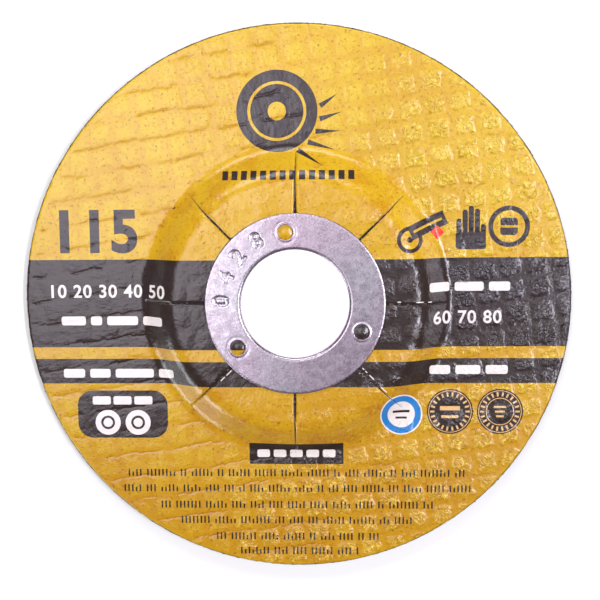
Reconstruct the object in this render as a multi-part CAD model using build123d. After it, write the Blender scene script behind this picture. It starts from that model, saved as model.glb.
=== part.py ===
from build123d import *
import math
import os

# Depressed-centre grinding wheel: a moulded abrasive disc with a glass net pressed into its
# rear face, a paper label over its front face and a pressed steel ring through its bore.
# Millimetres. +Z runs along the bore towards the label. The rim's underside is at Z = 0.

# The wheel as a whole
wheel_diameter = 115.0
wheel_thickness = 3.0  # at the rim, over net, abrasive, label and relief
bore_diameter = 22.23
hub_rise = 4.6  # how far the centre stands above the rim

# The raised centre, on the front of the abrasive
hub_corner = 26.4  # radius where the flat hub and the slope would meet
rim_corner = 31.9  # radius where the slope and the flat rim would meet
hub_round = 5.5
rim_round = 4.0
rim_edge_chamfer = 0.25
bore_edge_chamfer = 0.3

# The glass nets: flat yarns that cross in two layers. The front net lies under the label.
warp_pitch = 5.35
weft_pitch = 5.05
yarn_width = 1.8
yarn_height = 0.15
net_turn = 9.0  # degrees from the X axis to the weft
warp_shift = 2.42  # from the bore's axis to the middle of an opening
weft_shift = 0.54
net_rim_margin = 1.1  # bare abrasive outside the net
net_bore_margin = 0.9  # bare abrasive inside the net
net_edge_gap = 0.1

# The paper label
label_thickness = 0.12
label_rim_margin = 0.4
label_hole_diameter = 24.0
slit_count = 8
slit_end = 32.0  # radius where each slit closes
slit_width = 0.75  # where it comes out from under the ring
slit_overcut = 1.0  # how far each slit starts inside the label's hole
relief_height = 0.12  # what the net's openings push up in the label
relief_gap = 1.75  # between two pads, along a yarn
relief_rim_margin = 0.5
relief_slope_margin = 0.4
relief_least_area = 3.0  # a smaller corner of a pad is left out

# The steel ring
ring_diameter = 37.4
ring_sheet = 0.5
ring_lip_round = 0.75
ring_end_gap = 0.1  # collar's end above the hub's underside
ring_fit = 0.05  # between collar and abrasive
key_hole_diameter = 3.2
key_hole_circle = 29.8
key_hole_count = 3
key_hole_angle = 97.6
key_bump_height = 0.3  # label pressed up into each hole
key_bump_gap = 0.2

# Levels and radii that follow from the sizes above
net_thickness = 2 * yarn_height
body_thickness = wheel_thickness - net_thickness - label_thickness - relief_height
rim_top = net_thickness + body_thickness
hub_top = rim_top + hub_rise
slope = math.atan2(hub_rise, rim_corner - hub_corner)
wheel_radius = wheel_diameter / 2
ring_radius = ring_diameter / 2
collar_radius = bore_diameter / 2 + ring_sheet
disc_bore_radius = collar_radius + ring_fit
label_hub_top = hub_top + label_thickness
label_rim_top = rim_top + label_thickness
same = 1e-4  # two lengths that differ by less are the same


def layer_corners(depth, inner, outer):
    """Corners of the line this deep under the abrasive's front, from bore to rim."""
    shift = depth * math.tan(slope / 2)
    level = rim_top - depth
    hub_side = (inner, level + hub_rise), (hub_corner - shift, level + hub_rise)
    rim_side = (rim_corner - shift, level), (outer, level)
    return [*hub_side, *rim_side]


def front_line(depth, inner, outer):
    """A line on the front, where the mould rounds the corners."""
    return FilletPolyline(*layer_corners(depth, inner, outer), radius=[hub_round - depth, rim_round + depth])


def rear_line(depth, inner, outer):
    """A line on the rear, where the mould leaves the corners sharp."""
    return Polyline(*layer_corners(depth, inner, outer))


def section_between(top, bottom):
    """Half section of the layer between two lines, drawn as radius and height."""
    return make_face([top, bottom, Line(top @ 0, bottom @ 0), Line(top @ 1, bottom @ 1)])


def turned(section):
    """The half section turned round the bore's axis."""
    return revolve(Plane.XZ * section, axis=Axis.Z)


def lip(inner, outer, level):
    """Half section of a lip as deep as the net, with its foot at this level."""
    return Pos(inner, level) * Rectangle(outer - inner, net_thickness, align=(Align.MIN, Align.MIN))


def round_edge(part, radius, level):
    """The circular edge of this radius at this height."""
    circles = part.edges().filter_by(GeomType.CIRCLE)
    return [e for e in circles if abs(e.radius - radius) < same and abs(e.arc_center.Z - level) < same]


def abrasive_disc():
    front = front_line(0, disc_bore_radius, wheel_radius)
    rear = rear_line(body_thickness, disc_bore_radius, wheel_radius)
    section = section_between(front, rear)
    section += lip(wheel_radius - net_rim_margin, wheel_radius, 0)
    section += lip(disc_bore_radius, disc_bore_radius + net_bore_margin, hub_rise)
    disc = turned(section)
    disc = chamfer(round_edge(disc, wheel_radius, rim_top), rim_edge_chamfer)
    return chamfer(round_edge(disc, disc_bore_radius, hub_top), bore_edge_chamfer)


def yarns(depth, turn, pitch, shift):
    """One layer of the net: parallel yarns that follow the rear face at this depth."""
    inner = disc_bore_radius + net_bore_margin + net_edge_gap
    outer = wheel_radius - net_rim_margin - net_edge_gap
    lines = [rear_line(level, inner, outer) for level in (depth, depth + yarn_height)]
    layer = turned(section_between(*lines))
    rows = GridLocations(pitch, pitch, 1, 2 * math.ceil((outer + pitch) / pitch))
    strip = Pos(0, shift) * Rectangle(2 * wheel_radius, yarn_width)
    strips = Sketch() + [Rot(0, 0, turn) * row * strip for row in rows]
    return layer & extrude(strips, amount=hub_top)


def rear_net():
    warp = yarns(body_thickness, net_turn + 90, warp_pitch, -warp_shift)
    weft = yarns(body_thickness + yarn_height, net_turn, weft_pitch, weft_shift)
    return Compound(children=[*warp.solids(), *weft.solids()])


def label_slit():
    """Wedge cut from the label so that it can lie over the slope."""
    widening = slit_width / (slit_end - ring_radius)
    start = label_hole_diameter / 2 - slit_overcut
    half = widening * (slit_end - start) / 2
    wedge = make_face(Polyline((start, -half), (slit_end, 0), (start, half), close=True))
    return extrude(Pos(0, 0, rim_top) * wedge, amount=hub_rise + 2 * label_thickness)


def label_relief():
    """Pads that stand up in the label over the openings of the net beneath it."""
    slope_end = rim_corner + (rim_round + label_thickness) * math.tan(slope / 2)
    band = Circle(wheel_radius - label_rim_margin - relief_rim_margin)
    band -= Circle(slope_end + relief_slope_margin)
    count = 2 * math.ceil((wheel_radius + warp_pitch) / weft_pitch) + 1
    openings = GridLocations(warp_pitch, weft_pitch, count, count)
    pad = Pos(warp_shift, weft_shift) * Rectangle(warp_pitch - relief_gap, weft_pitch - relief_gap)
    pads = Sketch() + [place * pad for place in openings]
    pads = (Rot(0, 0, net_turn) * pads) & band
    large = [Pos(0, 0, label_rim_top) * pad for pad in pads.faces() if pad.area > relief_least_area]
    return [extrude(pad, amount=relief_height) for pad in large]


def key_bump():
    """Low dome of label pressed up into one of the ring's holes."""
    base = key_hole_diameter / 2 - key_bump_gap
    ball = (base**2 + key_bump_height**2) / (2 * key_bump_height)
    column = Cylinder(base, key_bump_height, align=(Align.CENTER, Align.CENTER, Align.MIN))
    return column & Pos(0, 0, key_bump_height - ball) * Sphere(ball)


def key_places(level):
    circle = PolarLocations(key_hole_circle / 2, key_hole_count, key_hole_angle)
    return [Pos(0, 0, level) * place for place in circle]


def paper_label():
    outer = wheel_radius - label_rim_margin
    lines = [front_line(depth, label_hole_diameter / 2, outer) for depth in (-label_thickness, 0)]
    label = turned(section_between(*lines))
    label -= [place * label_slit() for place in PolarLocations(0, slit_count)]
    label += label_relief()
    label += [place * key_bump() for place in key_places(label_hub_top)]
    return label


def hub_ring():
    top = label_hub_top + ring_sheet
    end = hub_rise + ring_end_gap
    bore = bore_diameter / 2
    outside = FilletPolyline((ring_radius, top), (bore, top), (bore, end), radius=ring_lip_round)
    inside = Polyline((ring_radius, label_hub_top), (collar_radius, label_hub_top), (collar_radius, end))
    ring = turned(section_between(outside, inside))
    punch = Cylinder(key_hole_diameter / 2, ring_sheet, align=(Align.CENTER, Align.CENTER, Align.MIN))
    ring -= [place * punch for place in key_places(label_hub_top)]
    return ring


os.makedirs("parts", exist_ok=True)
export_step(abrasive_disc(), "parts/abrasive_disc.step")
export_step(rear_net(), "parts/rear_net.step")
export_step(paper_label(), "parts/paper_label.step")
export_step(hub_ring(), "parts/hub_ring.step")
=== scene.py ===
import math
import random

import bpy
from mathutils import Matrix, Vector, noise
from mathutils.geometry import delaunay_2d_cdt


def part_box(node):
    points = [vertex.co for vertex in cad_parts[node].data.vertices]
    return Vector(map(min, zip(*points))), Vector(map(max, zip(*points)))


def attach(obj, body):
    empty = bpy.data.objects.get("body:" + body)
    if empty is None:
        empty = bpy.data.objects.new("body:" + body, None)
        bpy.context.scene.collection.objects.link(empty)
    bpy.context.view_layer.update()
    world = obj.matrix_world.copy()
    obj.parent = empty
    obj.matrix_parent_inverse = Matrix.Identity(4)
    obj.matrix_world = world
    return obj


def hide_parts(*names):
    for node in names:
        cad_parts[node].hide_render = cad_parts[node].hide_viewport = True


bl_info = {
    "name": "Depressed-centre grinding wheel",
    "version": (1, 0, 0),
    "blender": (4, 5, 0),
    "location": "3D Viewport > Sidebar > Wheel",
    "description": "Dresses a packed grinding wheel: grit, glass net, printed label and steel ring",
    "category": "Object",
}

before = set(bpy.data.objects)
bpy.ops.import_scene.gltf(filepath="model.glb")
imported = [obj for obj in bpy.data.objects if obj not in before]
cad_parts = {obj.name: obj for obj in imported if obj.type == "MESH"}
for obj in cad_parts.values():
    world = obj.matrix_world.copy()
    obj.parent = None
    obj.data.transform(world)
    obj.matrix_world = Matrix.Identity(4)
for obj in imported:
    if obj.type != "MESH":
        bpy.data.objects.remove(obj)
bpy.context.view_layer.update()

MM = 0.001
_, DISC_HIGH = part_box("abrasive_disc")
RING_LOW, RING_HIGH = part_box("hub_ring")
RIM_TOP = 2.76  # mm
KEY_ANGLE = 97.6  # degrees from the X axis to the first key hole
SLITS = 8
# Radii in mm of the label's back points, closest where the slope bends
BACK_RADII = (20, 23, 24.5, 26, 27.5, 29, 30.2, 30.9, 31.5, 32.1, 32.7, 33.4, 35.5, 40, 46, 52)
INKS = ("yellow", "black", "white", "gold", "blue", "red")


def length(name, size_mm, description):
    """A size that is stored in metres and shown with its unit."""
    return bpy.props.FloatProperty(
        name=name, description=description, default=size_mm * MM, unit="LENGTH", precision=5
    )


def linear(hex_colour):
    """An sRGB hex value as linear RGB with full alpha."""
    parts = [int(hex_colour[i : i + 2], 16) / 255 for i in (1, 3, 5)]
    return (*[c / 12.92 if c <= 0.04045 else ((c + 0.055) / 1.055) ** 2.4 for c in parts], 1.0)


def ink(name, hex_colour, description):
    """A colour that a user can change in the panel."""
    value = linear(hex_colour)
    return bpy.props.FloatVectorProperty(
        name=name, description=description, default=value, subtype="COLOR", size=4, min=0, max=1
    )


class WheelSizes(bpy.types.PropertyGroup):
    rim_radius: length("Rim radius", DISC_HIGH.x / MM, "Outer radius of the abrasive")
    rim_top: length("Rim top", RIM_TOP, "Height of the abrasive's flat front")
    hub_rise: length("Hub rise", DISC_HIGH.z / MM - RIM_TOP, "How far the centre stands above the rim")
    body_thickness: length("Body thickness", 2.46, "Thickness of the abrasive under the label")
    net_thickness: length("Net thickness", 0.3, "Depth of the rear net, and of the lips round it")
    hub_corner: length("Hub corner", 26.4, "Radius where the flat hub and the slope would meet")
    rim_corner: length("Rim corner", 31.9, "Radius where the slope and the flat rim would meet")
    hub_round: length("Hub round", 5.5, "Rounding of the hub's corner in front")
    rim_round: length("Rim round", 4.0, "Rounding at the foot of the slope in front")
    rear_round: length("Rear round", 0.9, "Rounding of the rear's corners")
    bore_radius: length("Bore radius", 11.115, "Inside of the ring's collar")
    disc_bore: length("Abrasive bore", 11.665, "Inside of the abrasive, round the collar")
    ring_radius: length("Ring radius", RING_HIGH.x / MM, "Outer radius of the steel ring")
    ring_sheet: length("Ring sheet", 0.5, "Thickness of the ring's steel")
    ring_lip: length("Ring lip", 0.75, "Rounding where the ring turns into its collar")
    key_circle: length("Key circle", 14.9, "Radius on which the three key holes lie")
    key_hole: length("Key hole", 1.6, "Radius of each key hole")
    key_bump: length("Key bump", 0.3, "How far the label is pressed up into each hole")
    label_thickness: length("Label thickness", 0.12, "Thickness of the printed paper")
    label_margin: length("Label margin", 0.3, "Bare abrasive outside the label")
    label_hole: length("Label hole", 12.0, "Radius of the label's own hole, under the ring")
    slit_end: length("Slit end", 32.0, "Radius where each slit of the label closes")
    slit_width: length("Slit width", 0.6, "Width of a slit where it leaves the ring")
    warp_pitch: length("Warp pitch", 5.35, "Spacing of the net's warp yarns")
    weft_pitch: length("Weft pitch", 5.05, "Spacing of the net's weft yarns")
    warp_shift: length("Warp shift", 2.42, "From the axis to the middle of an opening, along the weft")
    weft_shift: length("Weft shift", 0.54, "From the axis to the middle of an opening, along the warp")
    yarn_width: length("Yarn width", 1.75, "Width of a yarn, and of the gap between two pads")
    relief: length("Relief", 0.12, "How far the net's openings push up the label")
    net_turn: bpy.props.FloatProperty(
        name="Net turn", description="Weft's turn from the X axis", default=math.radians(9), subtype="ANGLE"
    )


class WheelColours(bpy.types.PropertyGroup):
    yellow: ink("Label yellow", "#C6A718", "Ground of the label")
    black: ink("Label black", "#2E272F", "Bands and marks of the label")
    white: ink("Label white", "#DCD8D8", "White marks and the torn paper")
    gold: ink("Badge gold", "#D9B98C", "Lines on the round badges")
    blue: ink("Badge blue", "#1F78BE", "Blue round mark")
    red: ink("Mark red", "#E0341C", "Small red mark")
    steel: ink("Tinplate", "#BDB9BF", "The steel ring")
    resin: ink("Resin", "#1C1613", "Resin that binds the grit")
    grit: ink("Grit", "#6A5C50", "Grains in the resin")
    yarn: ink("Glass yarn", "#94784C", "Glass yarn soaked in resin")
    floor: ink("Floor", "#E2E4DE", "Floor under the wheel")


def sizes():
    return bpy.context.scene.wheel_sizes


def colours():
    return bpy.context.scene.wheel_colours


def new_object(name, vertices, faces):
    """An object at the origin with this mesh, linked to the scene."""
    mesh = bpy.data.meshes.new(name)
    mesh.from_pydata(vertices, [], faces)
    mesh.validate()
    made = bpy.data.objects.new(name, mesh)
    bpy.context.scene.collection.objects.link(made)
    return made


def evaluated_mesh(holder):
    """The mesh that an object's modifiers give it, as a plain mesh."""
    graph = bpy.context.evaluated_depsgraph_get()
    return bpy.data.meshes.new_from_object(holder.evaluated_get(graph), depsgraph=graph)


def finish_piece(piece, material, node, smooth=True):
    """Gives a finished mesh its material and its place in the frame."""
    piece.data.materials.clear()
    piece.data.materials.append(material)
    if smooth:
        piece.data.shade_smooth()
    else:
        piece.data.shade_flat()
    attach(piece, "root")
    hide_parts(node)


def feed(tree, node, sources):
    """Links or sets a node's inputs, by name or place.

    A node given as source means its first output. A tuple that starts with a word, such as ("ADD", a, b),
    is a sum for a Math node, and may hold others.
    """
    for key, source in sources.items():
        if isinstance(source, tuple) and isinstance(source[0], str):
            source = add(tree, "ShaderNodeMath", source[1:], operation=source[0])
        if isinstance(source, bpy.types.Node):
            source = source.outputs[0]
        if isinstance(source, bpy.types.NodeSocket):
            tree.links.new(source, node.inputs[key])
        else:
            node.inputs[key].default_value = source


def add(tree, kind, sources=(), **settings):
    """Adds a node with its settings. Its sources are a dict by input, or a tuple in the inputs' order."""
    made = tree.nodes.new(kind)
    for key, value in settings.items():
        setattr(made, key, value)
    feed(tree, made, sources if isinstance(sources, dict) else dict(enumerate(sources)))
    return made


# Profile of the wheel, as radius and height


def slope_angle(wheel):
    return math.atan2(wheel.hub_rise, wheel.rim_corner - wheel.hub_corner)


def surface_height(wheel, radius, depth=0.0, rear=False):
    """Height of the face that lies this deep under the abrasive's front, at this radius."""
    angle = slope_angle(wheel)
    shift = depth * math.tan(angle / 2)
    hub, rim = wheel.hub_corner - shift, wheel.rim_corner - shift
    low = wheel.rim_top - depth
    high = low + wheel.hub_rise
    hub_round = wheel.rear_round if rear else wheel.hub_round - depth
    rim_round = wheel.rear_round if rear else wheel.rim_round + depth
    hub_reach = hub_round * math.tan(angle / 2)
    rim_reach = rim_round * math.tan(angle / 2)
    if radius <= hub - hub_reach:
        return high
    if radius < hub + hub_reach * math.cos(angle):
        over = radius - (hub - hub_reach)
        return high - hub_round + math.sqrt(hub_round**2 - over**2)
    if radius <= rim - rim_reach * math.cos(angle):
        return high - (radius - hub) * math.tan(angle)
    if radius < rim + rim_reach:
        over = rim + rim_reach - radius
        return low + rim_round - math.sqrt(rim_round**2 - over**2)
    return low


def circle(radius, count, centre=(0, 0), start=0.0):
    steps = [start + 2 * math.pi * i / count for i in range(count)]
    return [(centre[0] + radius * math.cos(a), centre[1] + radius * math.sin(a)) for a in steps]


def spread(start, end, count):
    """Values from start to end in this many even steps."""
    return [start + (end - start) * k / count for k in range(count + 1)]


def walk(points, step):
    """Points spread evenly along a line of points in a plane."""
    spaced = [points[0]]
    for a, b in zip(points, points[1:]):
        count = max(1, round(math.dist(a, b) / step))
        spaced += list(zip(spread(a[0], b[0], count), spread(a[1], b[1], count)))[1:]
    return spaced


def key_centres(wheel):
    angles = [math.radians(KEY_ANGLE + 120 * i) for i in range(3)]
    return [(wheel.key_circle * math.cos(a), wheel.key_circle * math.sin(a)) for a in angles]


def lathe(name, profile, segments, closed=True):
    """Turns a list of (radius, height) points about the Z axis."""
    rows = len(profile)
    vertices = []
    for i in range(segments):
        a = 2 * math.pi * i / segments
        vertices += [(r * math.cos(a), r * math.sin(a), z) for r, z in profile]
    faces = []
    last = rows if closed else rows - 1
    for i in range(segments):
        here, there = i * rows, (i + 1) % segments * rows
        for j in range(last):
            k = (j + 1) % rows
            faces.append((here + j, there + j, there + k, here + k))
    return new_object(name, vertices, faces)


# Print on the label, in millimetres from the bore's axis


class Print:
    """Flat inked shapes in the order in which they are printed."""

    least_area = 1e-3

    def __init__(self):
        self.shapes = []

    def add(self, colour, points):
        ahead = points[1:] + points[:1]
        area = sum(a[0] * b[1] - b[0] * a[1] for a, b in zip(points, ahead))
        if abs(area) > self.least_area:
            self.shapes.append((colour, points if area > 0 else points[::-1]))

    def bar(self, colour, centre, size, turn=0.0):
        w, h = size[0] / 2, size[1] / 2
        c, n = math.cos(turn), math.sin(turn)
        corners = ((-w, -h), (w, -h), (w, h), (-w, h))
        self.add(colour, [(centre[0] + x * c - y * n, centre[1] + x * n + y * c) for x, y in corners])

    def discs(self, centre, *layers):
        """Discs on one centre, each printed over the one before."""
        for colour, radius, count in layers:
            self.add(colour, circle(radius, count, centre))

    def rounded(self, colour, centre, size, corner):
        w, h = size[0] / 2 - corner, size[1] / 2 - corner
        points = []
        for q, (x, y) in enumerate(((w, h), (-w, h), (-w, -h), (w, -h))):
            points += circle(corner, 32, (centre[0] + x, centre[1] + y), math.pi / 2 * q)[:9]
        self.add(colour, points)

    def blocks(self, left, widths, gap, height, corner):
        """A row of white blocks from its left end."""
        x, y = left
        for width in widths:
            self.rounded("white", (x + width / 2, y), (width, height), corner)
            x += width + gap

    def digits(self, colour, text, left, height, gap=0.1, weight=0.02):
        """Plain digits from the default font, with their left foot at a point."""
        curve = bpy.data.curves.new("digits", "FONT")
        curve.body = text
        curve.space_character = 1 + gap
        curve.offset = weight
        made = bpy.data.objects.new("digits", curve)
        mesh = bpy.data.meshes.new_from_object(made)
        low = min(v.co.y for v in mesh.vertices)
        start = min(v.co.x for v in mesh.vertices)
        scale = height / (max(v.co.y for v in mesh.vertices) - low)
        for face in mesh.polygons:
            points = [mesh.vertices[i].co for i in face.vertices]
            points = [((p.x - start) * scale, (p.y - low) * scale) for p in points]
            self.add(colour, [(left[0] + x, left[1] + y) for x, y in points])
        bpy.data.objects.remove(made)
        bpy.data.meshes.remove(mesh)
        bpy.data.curves.remove(curve)

    def words(self, left, right, y, draw):
        """A line of upright black ticks in groups like words, between two ends."""
        height, tick, pitch = 1.55, 0.34, 0.82
        x, rest = left, 0
        while x < right - tick:
            if rest == 0:
                rest = draw.choice((2, 3, 4, 5, 6, 7, 8))
                if x > left:
                    x += pitch * 0.9
            tall = height * draw.choice((1, 1, 1, 0.62))
            self.bar("black", (x + tick / 2, y - (height - tall) / 2), (tick, tall))
            x += pitch
            rest -= 1


def print_emblem(label):
    """A wheel that throws sparks, over a row of small squares."""
    centre = (-3.6, 39.6)
    label.discs(centre, ("black", 8.4, 72), ("yellow", 6.1, 64), ("black", 5.5, 64), ("yellow", 1.9, 40))
    for i in range(5):
        a = math.radians(-62 + 17 * i)
        lean = a + 0.5
        root = Vector(centre) + 9.0 * Vector((math.cos(a), math.sin(a)))
        tip = root + (6.4 - 0.5 * i) * Vector((math.cos(lean), math.sin(lean)))
        side = Vector((-math.sin(lean), math.cos(lean))) * 0.55
        label.add("black", [tuple(root - side), tuple(tip), tuple(root + side)])
    for i in range(14):
        label.bar("black", (-14.3 + 2.0 * i, 26.4), (1.25, 1.9))


def print_numbers(label):
    """The size in plain digits, and rows of digits and blocks on the bands."""
    label.digits("black", "115", (-49.8, 10.4), 9.2, 0.06, 0.035)
    label.digits("white", "10 20 30 40 50", (-52.0, 1.0), 2.8)
    label.digits("white", "60 70 80", (28.6, -4.7), 2.8)
    rows = (
        ((-50.0, -3.9), (5.2, 2.4, 6.6, 4.6)),
        ((-49.9, -15.2), (4.6, 4.4, 8.2, 3.4)),
        ((27.7, 3.1), (4.4, 6.0, 4.4)),
        ((28.0, -14.5), (4.4, 5.2, 4.6)),
    )
    for left, widths in rows:
        label.blocks(left, widths, 1.1, 1.9, 0.5)


def print_marks(label):
    """Plain outlines of a grinder and a glove, and a ring with two bars."""
    body, lean = (27.4, 15.9), 0.42
    label.discs((23.6, 13.0), ("black", 2.7, 48), ("yellow", 1.9, 48), ("black", 0.6, 24))
    label.bar("black", body, (8.2, 3.0), lean)
    label.bar("yellow", body, (6.6, 0.5), lean)
    label.bar("red", (29.5, 14.4), (2.1, 2.1), 0.78)
    for i, finger in enumerate((6.4, 8.2, 9.0, 8.4, 5.2)):
        label.rounded("black", (34.0 + 1.25 * i, 10.8 + finger / 2), (1.1, finger), 0.5)
    label.rounded("black", (36.4, 12.6), (6.2, 3.6), 0.8)
    ring = (44.3, 15.5)
    label.discs(ring, ("black", 4.3, 56), ("yellow", 3.3, 56))
    label.rounded("black", ring, (3.6, 3.6), 0.7)
    label.bar("yellow", ring, (3.6, 0.5))


def print_badges(label):
    """A rounded badge with two white discs, a blue round mark and two black badges with gold ticks."""
    label.rounded("black", (-37.4, -24.1), (19.4, 10.3), 3.2)
    label.blocks((-43.85, -21.1), (3.9, 3.9, 3.9), 0.6, 1.8, 0.4)
    for x in (-40.65, -34.15):
        label.discs((x, -25.9), ("white", 2.72, 40), ("black", 1.5, 32), ("white", 1.0, 28))
    label.discs((22.1, -24.0), ("white", 4.5, 56), ("blue", 4.2, 56), ("white", 2.9, 48))
    label.bar("black", (22.1, -23.4), (3.6, 0.55))
    label.bar("black", (22.1, -24.8), (2.4, 0.45))
    left, right = (32.4, -23.5), (42.9, -23.5)
    ticks = 22
    for badge in (left, right):
        label.discs(badge, ("black", 4.85, 60), ("gold", 4.55, 60), ("black", 4.4, 60))
        for i, place in enumerate(circle(3.72, ticks, badge)):
            label.bar("gold", place, (0.9, 0.38), 2 * math.pi * i / ticks)
    label.bar("gold", (left[0], -22.8), (4.2, 0.9))
    label.bar("gold", (left[0], -24.6), (3.6, 0.6))
    label.discs(right, ("gold", 2.95, 48), ("black", 2.8, 48))
    for i in range(3):
        label.bar("gold", (right[0], -22.5 - 1.0 * i), (2.6 - 0.5 * i, 0.42))


def print_notes(label, draw):
    """A black box with white blocks, over six rows of ticks."""
    label.bar("black", (-0.2, -32.6), (20.1, 4.7))
    label.blocks((-8.55, -32.6), (2.7,) * 5, 0.8, 1.7, 0.4)
    rows = (
        (-36.5, 36.4, -36.9),
        (-37.5, 37.3, -40.3),
        (-29.5, 29.5, -43.9),
        (-25.2, 24.9, -47.3),
        (-17.6, 17.9, -50.9),
        (-12.4, 12.5, -54.1),
    )
    for left, right, y in rows:
        label.words(left, right, y, draw)


def print_torn_edges(label, draw):
    """Short white lengths along three slits, where the torn paper shows its core."""
    start, end, slit_end = 19.2, 27.5, 32
    half_opening = 0.0226  # of a slit, for each millimetre in from its end
    beside, width = 0.07, 0.2
    for turn in (0, 225, 315):
        a = math.radians(turn)
        along, aside = Vector((math.cos(a), math.sin(a))), Vector((-math.sin(a), math.cos(a)))
        r = start
        while r < end:
            torn = draw.uniform(0.5, 1.7)
            off = draw.choice((-1, 1)) * (half_opening * (slit_end - r) + beside)
            label.bar("white", tuple(along * (r + torn / 2) + aside * off), (torn, width), a)
            r += torn + draw.uniform(0.0, 0.8)


def label_print():
    """Bands, marks and plain numbers, laid out like a wheel's usual label."""
    label = Print()
    draw = random.Random(7)
    # The label's edge cuts off the bands
    label.bar("black", (0, -0.23), (130, 18.68))
    label.bar("black", (0, -14.73), (130, 5.31))
    print_emblem(label)
    print_numbers(label)
    print_marks(label)
    print_badges(label)
    print_notes(label, draw)
    print_torn_edges(label, draw)
    return label.shapes


# The label, cut, printed and pressed


class Blank:
    """A flat sheet that is cut along closed outlines. Its loose points only make its triangles finer."""

    def __init__(self):
        self.points, self.outlines = [], []

    def cut(self, outline):
        first = len(self.points)
        self.points += outline
        self.outlines.append(list(range(first, first + len(outline))))

    def triangles(self, nearest=1e-7):
        """The sheet's points, each triangle with the outlines round it, and what each point came from."""
        given = [Vector(p) for p in self.points]
        flat, _, faces, sources, _, origins = delaunay_2d_cdt(given, [], self.outlines, 0, nearest)
        return flat, list(zip(faces, origins)), sources


def triangle_grid(reach, step):
    """Column, row and place of each point of a triangular grid that covers a square of this reach."""
    row_step = math.sqrt(0.75)
    rows = int(reach / (step * row_step)) + 1
    for j in range(-rows, rows + 1):
        for i in range(-rows, rows + 1):
            yield i, j, (i + 0.5 * (j % 2)) * step, j * step * row_step


def used_points(faces):
    """The old numbers of the points that faces use, and the faces with new numbers for them."""
    used = sorted({i for face in faces for i in face})
    index = {old: new for new, old in enumerate(used)}
    return used, [tuple(index[i] for i in face) for face in faces]


def label_slits(wheel, draw):
    """Outline of each wedge slit, with slightly uneven edges, in metres."""
    slits = []
    steps, uneven = 12, 0.25
    widening = wheel.slit_width / (wheel.slit_end - wheel.ring_radius)
    radii = spread(wheel.label_hole - 1.5 * MM, wheel.slit_end, steps)
    for i in range(SLITS):
        turn = Matrix.Rotation(2 * math.pi / SLITS * i, 2)
        sides = []
        for side in (-1, 1):
            edge = []
            for j, r in enumerate(radii):
                half = widening * (wheel.slit_end - r) / 2
                half *= 1 + (draw.uniform(-uneven, uneven) if 0 < j < steps else 0)
                edge.append(turn @ Vector((r, side * half)))
            sides.append(edge)
        slits.append([tuple(v) for v in sides[0] + sides[1][-2::-1]])
    return slits


def label_cut(wheel, net):
    """The label's blank, cut along its slits and its print, with the ink of each triangle."""
    draw = random.Random(3)
    outer = wheel.rim_radius - wheel.label_margin
    fine, shake = 0.365 * MM, 0.06
    blank, inks = Blank(), []

    def cut(colour, outline):
        blank.cut(walk(outline + outline[:1], 0.5 * MM)[:-1])
        inks.append(colour)

    def rim_point(angle):
        r = outer + 0.02 * MM * math.sin(31 * angle) + draw.uniform(-0.03, 0.03) * MM
        return (r * math.cos(angle), r * math.sin(angle))

    rim_points = 900
    cut("yellow", [rim_point(2 * math.pi * i / rim_points) for i in range(rim_points)])
    print_turn = Matrix.Rotation(math.radians(0.5), 2)
    for colour, outline in label_print():
        cut(colour, [tuple(print_turn @ Vector(p) * MM) for p in outline])
    for outline in label_slits(wheel, draw):
        cut(None, outline)
    cut(None, circle(wheel.label_hole, 160))

    # Points lie close where the net shows and round the key holes, and far apart on the plain hub
    keys = key_centres(wheel)
    for i, j, x, y in triangle_grid(outer, fine):
        r = math.hypot(x, y)
        near_key = any(math.hypot(x - kx, y - ky) < 2.2 * MM for kx, ky in keys)
        dense = r > net.foot - 1 * MM or near_key
        keep = dense or (i % 2 == 0 and j % 2 == 0 and r > wheel.ring_radius - 1 * MM)
        if keep and wheel.label_hole < r < outer - 0.5 * fine:
            x += draw.uniform(-shake, shake) * fine
            y += draw.uniform(-shake, shake) * fine
            blank.points.append((x, y))
    blank.points += net.crease_points()
    flat, triangles, _ = blank.triangles()
    kept = [(triangle, inks[max(origin)]) for triangle, origin in triangles if 0 in origin]
    kept = [(triangle, colour) for triangle, colour in kept if colour is not None]
    return [tuple(p) for p in flat], [triangle for triangle, _ in kept], [colour for _, colour in kept]


def smooth(t):
    t = min(max(t, 0.0), 1.0)
    return t * t * (3 - 2 * t)


def chance(i, j, salt):
    """A fixed random value from 0 to 1 for one cell of the net."""
    return noise.cell(Vector((i + 0.5, j + 0.5, salt + 0.5))) * 0.5 + 0.5


def drift(x, y, z):
    """A slow random value from about -1 to 1 at a place."""
    return noise.noise(Vector((x, y, z)))


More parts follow.
